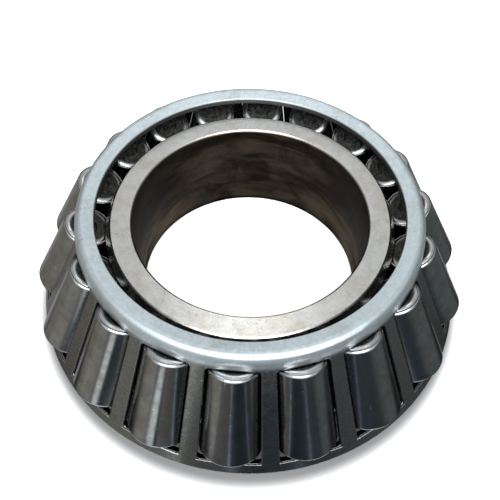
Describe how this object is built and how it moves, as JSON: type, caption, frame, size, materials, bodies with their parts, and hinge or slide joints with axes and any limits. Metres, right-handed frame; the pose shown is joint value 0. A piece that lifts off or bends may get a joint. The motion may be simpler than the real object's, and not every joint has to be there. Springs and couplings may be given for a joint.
{
  "type": "tapered roller bearing cone assembly",
  "caption": "Inner ring of a steep-angle tapered roller bearing with its tapered rollers in a pressed steel cage, ready to run in a separate cup.",
  "frame": {"origin": "centre of the inner ring's back face, the wide face beside the large rib, on which the part stands", "axes": "+Z along the bearing's axis, from the back face to the front face; X and Y are free, and the roller nearest the viewer is near -Y"},
  "size_m": [0.1248, 0.1252, 0.0384],
  "materials": {
    "ring_steel": "ground bearing steel, satin, with light stains",
    "cage_steel": "pressed sheet steel, blue-grey, satin",
    "roller_steel": "ground and polished bearing steel, dark"
  },
  "bodies": {
    "inner_ring": {"inner_ring": "ring_steel"},
    "cage": {"cage": "cage_steel"},
    "roller_01": {"roller_01": "roller_steel"},
    "roller_02": {"roller_02": "roller_steel"},
    "roller_03": {"roller_03": "roller_steel"},
    "roller_04": {"roller_04": "roller_steel"},
    "roller_05": {"roller_05": "roller_steel"},
    "roller_06": {"roller_06": "roller_steel"},
    "roller_07": {"roller_07": "roller_steel"},
    "roller_08": {"roller_08": "roller_steel"},
    "roller_09": {"roller_09": "roller_steel"},
    "roller_10": {"roller_10": "roller_steel"},
    "roller_11": {"roller_11": "roller_steel"},
    "roller_12": {"roller_12": "roller_steel"},
    "roller_13": {"roller_13": "roller_steel"},
    "roller_14": {"roller_14": "roller_steel"},
    "roller_15": {"roller_15": "roller_steel"},
    "roller_16": {"roller_16": "roller_steel"},
    "roller_17": {"roller_17": "roller_steel"},
    "roller_18": {"roller_18": "roller_steel"}
  },
  "joints": [
    {"name": "cage_spin", "type": "hinge", "parent": "inner_ring", "child": "cage", "pos_m": [0, 0, 0.0165], "axis": [0, 0, 1], "continuous": true},
    {"name": "roller_01_spin", "type": "hinge", "parent": "cage", "child": "roller_01", "pos_m": [-0.00378, -0.05547, 0.00795], "axis": [0.0291, 0.4264, 0.9041], "continuous": true},
    {"name": "roller_02_spin", "type": "hinge", "parent": "cage", "child": "roller_02", "pos_m": [0.01542, -0.05342, 0.00795], "axis": [-0.1185, 0.4106, 0.9041], "continuous": true},
    {"name": "roller_03_spin", "type": "hinge", "parent": "cage", "child": "roller_03", "pos_m": [0.03276, -0.04492, 0.00795], "axis": [-0.2518, 0.3453, 0.9041], "continuous": true},
    {"name": "roller_04_spin", "type": "hinge", "parent": "cage", "child": "roller_04", "pos_m": [0.04615, -0.03101, 0.00795], "axis": [-0.3547, 0.2384, 0.9041], "continuous": true},
    {"name": "roller_05_spin", "type": "hinge", "parent": "cage", "child": "roller_05", "pos_m": [0.05397, -0.01336, 0.00795], "axis": [-0.4148, 0.1027, 0.9041], "continuous": true},
    {"name": "roller_06_spin", "type": "hinge", "parent": "cage", "child": "roller_06", "pos_m": [0.05529, 0.00591, 0.00795], "axis": [-0.4249, -0.0454, 0.9041], "continuous": true},
    {"name": "roller_07_spin", "type": "hinge", "parent": "cage", "child": "roller_07", "pos_m": [0.04993, 0.02446, 0.00795], "axis": [-0.3838, -0.188, 0.9041], "continuous": true},
    {"name": "roller_08_spin", "type": "hinge", "parent": "cage", "child": "roller_08", "pos_m": [0.03855, 0.04006, 0.00795], "axis": [-0.2963, -0.3079, 0.9041], "continuous": true},
    {"name": "roller_09_spin", "type": "hinge", "parent": "cage", "child": "roller_09", "pos_m": [0.02253, 0.05083, 0.00795], "axis": [-0.1731, -0.3907, 0.9041], "continuous": true},
    {"name": "roller_10_spin", "type": "hinge", "parent": "cage", "child": "roller_10", "pos_m": [0.00378, 0.05547, 0.00795], "axis": [-0.0291, -0.4264, 0.9041], "continuous": true},
    {"name": "roller_11_spin", "type": "hinge", "parent": "cage", "child": "roller_11", "pos_m": [-0.01542, 0.05342, 0.00795], "axis": [0.1185, -0.4106, 0.9041], "continuous": true},
    {"name": "roller_12_spin", "type": "hinge", "parent": "cage", "child": "roller_12", "pos_m": [-0.03276, 0.04492, 0.00795], "axis": [0.2518, -0.3453, 0.9041], "continuous": true},
    {"name": "roller_13_spin", "type": "hinge", "parent": "cage", "child": "roller_13", "pos_m": [-0.04615, 0.03101, 0.00795], "axis": [0.3547, -0.2384, 0.9041], "continuous": true},
    {"name": "roller_14_spin", "type": "hinge", "parent": "cage", "child": "roller_14", "pos_m": [-0.05397, 0.01336, 0.00795], "axis": [0.4148, -0.1027, 0.9041], "continuous": true},
    {"name": "roller_15_spin", "type": "hinge", "parent": "cage", "child": "roller_15", "pos_m": [-0.05529, -0.00591, 0.00795], "axis": [0.4249, 0.0454, 0.9041], "continuous": true},
    {"name": "roller_16_spin", "type": "hinge", "parent": "cage", "child": "roller_16", "pos_m": [-0.04993, -0.02446, 0.00795], "axis": [0.3838, 0.188, 0.9041], "continuous": true},
    {"name": "roller_17_spin", "type": "hinge", "parent": "cage", "child": "roller_17", "pos_m": [-0.03855, -0.04006, 0.00795], "axis": [0.2963, 0.3079, 0.9041], "continuous": true},
    {"name": "roller_18_spin", "type": "hinge", "parent": "cage", "child": "roller_18", "pos_m": [-0.02253, -0.05083, 0.00795], "axis": [0.1731, 0.3907, 0.9041], "continuous": true}
  ],
  "couplings": [
    {"joint": "roller_01_spin", "follows": "cage_spin", "ratio": 5.8353},
    {"joint": "roller_02_spin", "follows": "cage_spin", "ratio": 5.8353},
    {"joint": "roller_03_spin", "follows": "cage_spin", "ratio": 5.8353},
    {"joint": "roller_04_spin", "follows": "cage_spin", "ratio": 5.8353},
    {"joint": "roller_05_spin", "follows": "cage_spin", "ratio": 5.8353},
    {"joint": "roller_06_spin", "follows": "cage_spin", "ratio": 5.8353},
    {"joint": "roller_07_spin", "follows": "cage_spin", "ratio": 5.8353},
    {"joint": "roller_08_spin", "follows": "cage_spin", "ratio": 5.8353},
    {"joint": "roller_09_spin", "follows": "cage_spin", "ratio": 5.8353},
    {"joint": "roller_10_spin", "follows": "cage_spin", "ratio": 5.8353},
    {"joint": "roller_11_spin", "follows": "cage_spin", "ratio": 5.8353},
    {"joint": "roller_12_spin", "follows": "cage_spin", "ratio": 5.8353},
    {"joint": "roller_13_spin", "follows": "cage_spin", "ratio": 5.8353},
    {"joint": "roller_14_spin", "follows": "cage_spin", "ratio": 5.8353},
    {"joint": "roller_15_spin", "follows": "cage_spin", "ratio": 5.8353},
    {"joint": "roller_16_spin", "follows": "cage_spin", "ratio": 5.8353},
    {"joint": "roller_17_spin", "follows": "cage_spin", "ratio": 5.8353},
    {"joint": "roller_18_spin", "follows": "cage_spin", "ratio": 5.8353}
  ]
}
